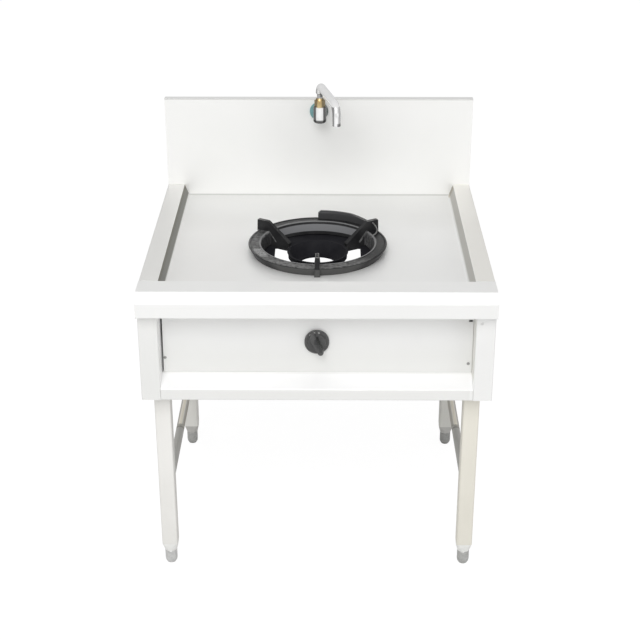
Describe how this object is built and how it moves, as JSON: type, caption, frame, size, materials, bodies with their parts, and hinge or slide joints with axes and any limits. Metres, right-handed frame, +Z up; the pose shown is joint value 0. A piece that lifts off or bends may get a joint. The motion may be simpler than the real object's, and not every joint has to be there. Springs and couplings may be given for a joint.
{
  "type": "wok range",
  "caption": "Free-standing gas wok range: sunk steel worktop with a cast-iron wok ring and burner bowl, splashback with swing tap, recessed control panel, tube legs.",
  "frame": {"origin": "on the floor, under the centre of the range's bounding box", "axes": "+X to the cook's right, +Y to the back, +Z up; the cook stands on the -Y side"},
  "size_m": [0.85, 0.795, 1.1084],
  "materials": {
    "stainless_sheet": "satin stainless sheet",
    "stainless_tube": "satin stainless tube",
    "plug_metal": "satin cast collar",
    "foot_metal": "dull grey turned metal",
    "cast_iron": "sand cast, blacked",
    "frame_steel": "mill finish",
    "pipe_steel": "dull zinc",
    "brass": "machined",
    "copper": "drawn tube",
    "knob_plastic": "satin moulded",
    "spindle_steel": "turned",
    "tap_teal": "gloss",
    "chrome": "polished",
    "screw_steel": "plain"
  },
  "bodies": {
    "frame": {"back_channel": "frame_steel", "backsplash": "stainless_sheet", "base_angle_left": "frame_steel", "base_angle_right": "frame_steel", "bottom_rail": "stainless_sheet", "burner_bowl": "cast_iron", "burner_crossbar": "frame_steel", "burner_head": "cast_iron", "burner_stand": "pipe_steel", "control_panel": "stainless_sheet", "front_channel": "frame_steel", "front_rim": "stainless_sheet", "gas_inlet": "brass", "gas_valve": "brass", "injector": "brass", "injector_pipe": "copper", "leg_front_left": "stainless_tube", "leg_front_right": "stainless_tube", "leg_plug_front_left": "plug_metal", "leg_plug_front_right": "plug_metal", "leg_plug_rear_left": "plug_metal", "leg_plug_rear_right": "plug_metal", "leg_rear_left": "stainless_tube", "leg_rear_right": "stainless_tube", "mixing_tube": "pipe_steel", "panel_screws": "screw_steel", "pilot_burner": "brass", "pilot_tube": "copper", "pipe_bracket": "frame_steel", "post_screw": "screw_steel", "rear_base_rail": "frame_steel", "rear_channel": "frame_steel", "side_panel_left": "stainless_sheet", "side_panel_right": "stainless_sheet", "stretcher_left": "stainless_tube", "stretcher_right": "stainless_tube", "supply_pipe": "pipe_steel", "tap_body": "chrome", "tap_flange": "tap_teal", "tap_locknut": "brass", "tap_nut": "brass", "valve_nut": "brass", "water_inlet": "brass", "water_pipe": "copper", "worktop": "stainless_sheet"},
    "spout": {"spout": "chrome"},
    "knob": {"knob": "knob_plastic", "valve_stem": "spindle_steel"},
    "wok_ring": {"wok_ring": "cast_iron"},
    "foot_front_left": {"foot_front_left": "foot_metal"},
    "foot_front_right": {"foot_front_right": "foot_metal"},
    "foot_rear_left": {"foot_rear_left": "foot_metal"},
    "foot_rear_right": {"foot_rear_right": "foot_metal"}
  },
  "joints": [
    {"name": "spout_swing", "type": "hinge", "parent": "frame", "child": "spout", "pos_m": [0.0034, 0.3295, 1.06], "axis": [0, 0, 1], "range_deg": [-98, 72]},
    {"name": "knob_turn", "type": "hinge", "parent": "frame", "child": "knob", "pos_m": [0, -0.31591, 0.6455], "axis": [0, -0.9984, 0.056], "range_deg": [0, 90]},
    {"name": "ring_lift", "type": "slide", "parent": "frame", "child": "wok_ring", "axis": [0, 0, 1], "range_m": [0, 0.15]},
    {"name": "foot_front_left_screw", "type": "slide", "parent": "frame", "child": "foot_front_left", "axis": [0, 0, -1], "range_m": [0, 0.02]},
    {"name": "foot_front_right_screw", "type": "slide", "parent": "frame", "child": "foot_front_right", "axis": [0, 0, -1], "range_m": [0, 0.02]},
    {"name": "foot_rear_left_screw", "type": "slide", "parent": "frame", "child": "foot_rear_left", "axis": [0, 0, -1], "range_m": [0, 0.02]},
    {"name": "foot_rear_right_screw", "type": "slide", "parent": "frame", "child": "foot_rear_right", "axis": [0, 0, -1], "range_m": [0, 0.02]}
  ]
}
